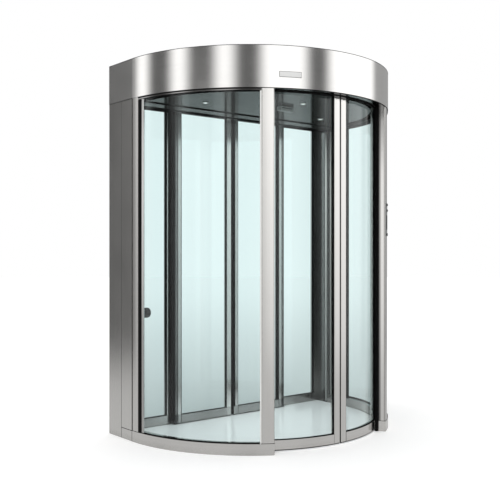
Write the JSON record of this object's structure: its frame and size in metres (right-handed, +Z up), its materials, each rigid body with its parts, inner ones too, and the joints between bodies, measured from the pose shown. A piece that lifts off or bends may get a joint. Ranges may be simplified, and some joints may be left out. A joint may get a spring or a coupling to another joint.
{
  "type": "security airlock portal",
  "caption": "Half-round security airlock portal: steel header and posts, fixed curved glass, curved bi-parting front doors and flat bi-parting rear doors that slide open in pairs.",
  "frame": {"origin": "on the ground at the centre of the half-round front, on the axis the curved doors turn about", "axes": "+Z up, +Y towards the flat rear wall, +X to the right of a person about to walk in at the front"},
  "size_m": [1.91, 1.2419, 2.4],
  "materials": {
    "steel": "vertical brushed",
    "glass": "clear, slightly green",
    "rubber": "matt black",
    "painted": "satin grey",
    "aluminium": "mill",
    "floor": "pale grey studded mat",
    "lamp": "lit lens in a bezel",
    "dark_plastic": "dark grey",
    "panel": "dark satin"
  },
  "bodies": {
    "portal": {"left_rear_jamb": "steel", "right_rear_jamb": "steel", "left_side_panel": "steel", "right_side_panel": "steel", "side_base_blocks": "steel", "left_base_rail": "steel", "right_base_rail": "steel", "left_front_post": "steel", "right_front_post": "steel", "left_rear_post": "steel", "right_rear_post": "steel", "head_rails": "steel", "left_rear_frame": "steel", "right_rear_frame": "steel", "left_header_fascia": "steel", "right_header_fascia": "steel", "front_header_fascia": "steel", "rear_header_fascia": "steel", "left_curved_glass": "glass", "right_curved_glass": "glass", "left_rear_glass": "glass", "right_rear_glass": "glass", "curved_glass_gaskets": "rubber", "post_seals": "rubber", "rear_glass_gaskets": "rubber", "roof_plate": "painted", "ceiling_panel": "painted", "rear_drive_cover": "painted", "front_track": "aluminium", "rear_track": "aluminium", "floor_plate": "floor", "ceiling_lights": "lamp", "ceiling_sensor": "dark_plastic", "push_button": "dark_plastic", "entry_panel": "panel"},
    "front_left_leaf": {"front_left_leaf_frame": "steel", "front_left_leaf_glass": "glass", "front_left_leaf_gasket": "rubber"},
    "front_right_leaf": {"front_right_leaf_frame": "steel", "front_right_leaf_glass": "glass", "front_right_leaf_gasket": "rubber"},
    "rear_left_leaf": {"rear_left_leaf_frame": "steel", "rear_left_leaf_glass": "glass", "rear_left_leaf_gasket": "rubber"},
    "rear_right_leaf": {"rear_right_leaf_frame": "steel", "rear_right_leaf_glass": "glass", "rear_right_leaf_gasket": "rubber"}
  },
  "joints": [
    {"name": "front_left_slide", "type": "hinge", "parent": "portal", "child": "front_left_leaf", "pos_m": [0, 0, 0], "axis": [0, 0, -1], "range_deg": [0, 30]},
    {"name": "front_right_slide", "type": "hinge", "parent": "portal", "child": "front_right_leaf", "pos_m": [0, 0, 0], "axis": [0, 0, 1], "range_deg": [0, 30]},
    {"name": "rear_left_slide", "type": "slide", "parent": "portal", "child": "rear_left_leaf", "axis": [-1, 0, 0], "range_m": [0, 0.4]},
    {"name": "rear_right_slide", "type": "slide", "parent": "portal", "child": "rear_right_leaf", "axis": [1, 0, 0], "range_m": [0, 0.4]}
  ],
  "couplings": [
    {"joint": "front_right_slide", "follows": "front_left_slide", "ratio": 1},
    {"joint": "rear_right_slide", "follows": "rear_left_slide", "ratio": 1}
  ]
}
